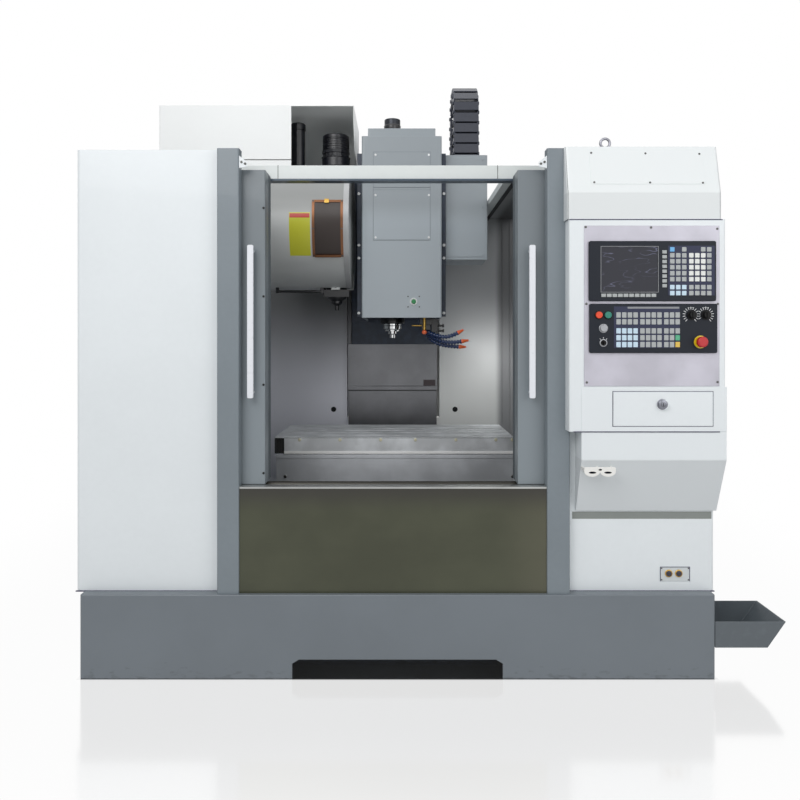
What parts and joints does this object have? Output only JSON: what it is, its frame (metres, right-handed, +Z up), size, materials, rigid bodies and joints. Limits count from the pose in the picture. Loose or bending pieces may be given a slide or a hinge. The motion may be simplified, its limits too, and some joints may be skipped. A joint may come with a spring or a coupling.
{
  "type": "vertical machining centre",
  "caption": "Enclosed vertical machining centre with sliding doors, T-slot table, spindle head, drum tool magazine and an operator cabinet.",
  "frame": {"origin": "on the floor, under the middle of the machine's box", "axes": "+X to the operator's right, +Y away from the operator towards the column, +Z up"},
  "size_m": [2.578, 2.34, 2.4723],
  "materials": {
    "base_paint": "semi-gloss",
    "cover_paint": "semi-gloss",
    "post_paint": "semi-gloss",
    "head_paint": "semi-gloss",
    "wall_paint": "semi-gloss",
    "beam_paint": "semi-gloss",
    "door_paint": "semi-gloss",
    "casting_paint": "semi-gloss",
    "stainless": "brushed",
    "bright_steel": "polished",
    "table_iron": "ground",
    "drum_metal": "satin",
    "copper_frame": "satin",
    "black_plastic": "matte",
    "dark_rubber": "matte",
    "key_plastic": "matte",
    "orange_plastic": "gloss",
    "green_plastic": "gloss",
    "red_plastic": "gloss",
    "blue_hose": "satin"
  },
  "bodies": {
    "machine": {"bed": "casting_paint", "levelling_feet": "bright_steel", "base_tray": "base_paint", "y_ways": "bright_steel", "column": "casting_paint", "z_ways": "bright_steel", "y_bellows": "dark_rubber", "left_cover": "cover_paint", "right_cover": "cover_paint", "rear_wall": "wall_paint", "left_post": "post_paint", "right_post": "post_paint", "front_apron": "stainless", "top_frame": "beam_paint", "magazine_shroud": "drum_metal", "magazine_window": "copper_frame", "magazine_hood": "cover_paint", "servo_motors": "black_plastic", "control_cabinet": "cover_paint", "cabinet_hood": "cover_paint", "operator_plate": "stainless", "display_unit": "black_plastic", "operator_unit": "black_plastic", "panel_keys": "key_plastic", "slope_skirt": "cover_paint", "handwheel_hook": "cover_paint", "chip_chute": "base_paint", "power_cabinet": "cover_paint"},
    "left_door": {"left_door": "door_paint", "left_handle": "cover_paint"},
    "right_door": {"right_door": "door_paint", "right_handle": "cover_paint"},
    "saddle": {"saddle": "casting_paint", "x_ways": "bright_steel", "saddle_guard": "stainless"},
    "table": {"table": "table_iron", "table_wiper": "dark_rubber"},
    "head": {"head_casting": "casting_paint", "head_cover": "head_paint", "head_plates": "head_paint", "side_box": "head_paint", "spindle_unit": "bright_steel", "coolant_nozzles": "blue_hose", "z_cover_upper": "stainless", "cable_chain": "black_plastic"},
    "z_cover_middle": {"z_cover_middle": "stainless"},
    "z_cover_lower": {"z_cover_lower": "stainless"},
    "spindle": {"spindle": "bright_steel"},
    "release_button": {"release_button": "green_plastic"},
    "carousel": {"carousel": "black_plastic"},
    "tool_pot": {"tool_pot": "black_plastic"},
    "drawer": {"drawer": "cover_paint"},
    "emergency_stop": {"emergency_stop": "red_plastic"},
    "feed_knob": {"feed_knob": "black_plastic"},
    "speed_knob": {"speed_knob": "black_plastic"},
    "orange_button": {"orange_button": "orange_plastic"},
    "green_button": {"green_button": "green_plastic"},
    "silver_button": {"silver_button": "bright_steel"},
    "key_switch": {"key_switch": "bright_steel"},
    "power_door": {"power_door": "cover_paint"}
  },
  "joints": [
    {"name": "left_door_slide", "type": "slide", "parent": "machine", "child": "left_door", "axis": [1, 0, 0], "range_m": [0, 0.471]},
    {"name": "right_door_slide", "type": "slide", "parent": "machine", "child": "right_door", "axis": [-1, 0, 0], "range_m": [0, 0.458]},
    {"name": "y_axis", "type": "slide", "parent": "machine", "child": "saddle", "axis": [0, 1, 0], "range_m": [-0.114, 0.38], "deforming": ["y_bellows"]},
    {"name": "x_axis", "type": "slide", "parent": "saddle", "child": "table", "axis": [1, 0, 0], "range_m": [-0.4, 0.4]},
    {"name": "z_axis", "type": "slide", "parent": "machine", "child": "head", "axis": [0, 0, 1], "range_m": [-0.28, 0.26], "deforming": ["cable_chain"]},
    {"name": "z_cover_middle_slide", "type": "slide", "parent": "machine", "child": "z_cover_middle", "axis": [0, 0, 1], "range_m": [-0.19, 0.18]},
    {"name": "z_cover_lower_slide", "type": "slide", "parent": "machine", "child": "z_cover_lower", "axis": [0, 0, 1], "range_m": [-0.1, 0.09]},
    {"name": "spindle_spin", "type": "hinge", "parent": "head", "child": "spindle", "pos_m": [-0.139, -0.12, 1.3], "axis": [0, 0, 1], "continuous": true},
    {"name": "release_press", "type": "slide", "parent": "head", "child": "release_button", "axis": [0, 1, 0], "range_m": [0, 0.004], "stiffness_N_per_m": 400},
    {"name": "carousel_spin", "type": "hinge", "parent": "machine", "child": "carousel", "pos_m": [-0.671, -0.15, 1.75], "axis": [1, 0, 0], "continuous": true},
    {"name": "tool_pot_flip", "type": "hinge", "parent": "machine", "child": "tool_pot", "pos_m": [-0.406, -0.15, 1.474], "axis": [0, 1, 0], "range_deg": [-90, 0]},
    {"name": "drawer_slide", "type": "slide", "parent": "machine", "child": "drawer", "axis": [0, -1, 0], "range_m": [0, 0.08]},
    {"name": "emergency_stop_press", "type": "slide", "parent": "machine", "child": "emergency_stop", "axis": [0, 1, 0], "range_m": [0, 0.005]},
    {"name": "feed_knob_turn", "type": "hinge", "parent": "machine", "child": "feed_knob", "pos_m": [0.925, -1.15, 1.308], "axis": [0, 1, 0], "range_deg": [-135, 135]},
    {"name": "speed_knob_turn", "type": "hinge", "parent": "machine", "child": "speed_knob", "pos_m": [0.975, -1.15, 1.308], "axis": [0, 1, 0], "range_deg": [-135, 135]},
    {"name": "orange_button_press", "type": "slide", "parent": "machine", "child": "orange_button", "axis": [0, 1, 0], "range_m": [0, 0.004], "stiffness_N_per_m": 400},
    {"name": "green_button_press", "type": "slide", "parent": "machine", "child": "green_button", "axis": [0, 1, 0], "range_m": [0, 0.004], "stiffness_N_per_m": 400},
    {"name": "silver_button_press", "type": "slide", "parent": "machine", "child": "silver_button", "axis": [0, 1, 0], "range_m": [0, 0.004], "stiffness_N_per_m": 400},
    {"name": "key_switch_turn", "type": "hinge", "parent": "machine", "child": "key_switch", "pos_m": [0.614, -1.15, 1.21], "axis": [0, 1, 0], "range_deg": [0, 90]},
    {"name": "power_door_swing", "type": "hinge", "parent": "machine", "child": "power_door", "pos_m": [1.026, 1.134, 0.9], "axis": [0, 0, 1], "range_deg": [-110, 0]}
  ],
  "couplings": [
    {"joint": "z_cover_middle_slide", "follows": "z_axis", "ratio": 0.66667},
    {"joint": "z_cover_lower_slide", "follows": "z_axis", "ratio": 0.33333}
  ]
}
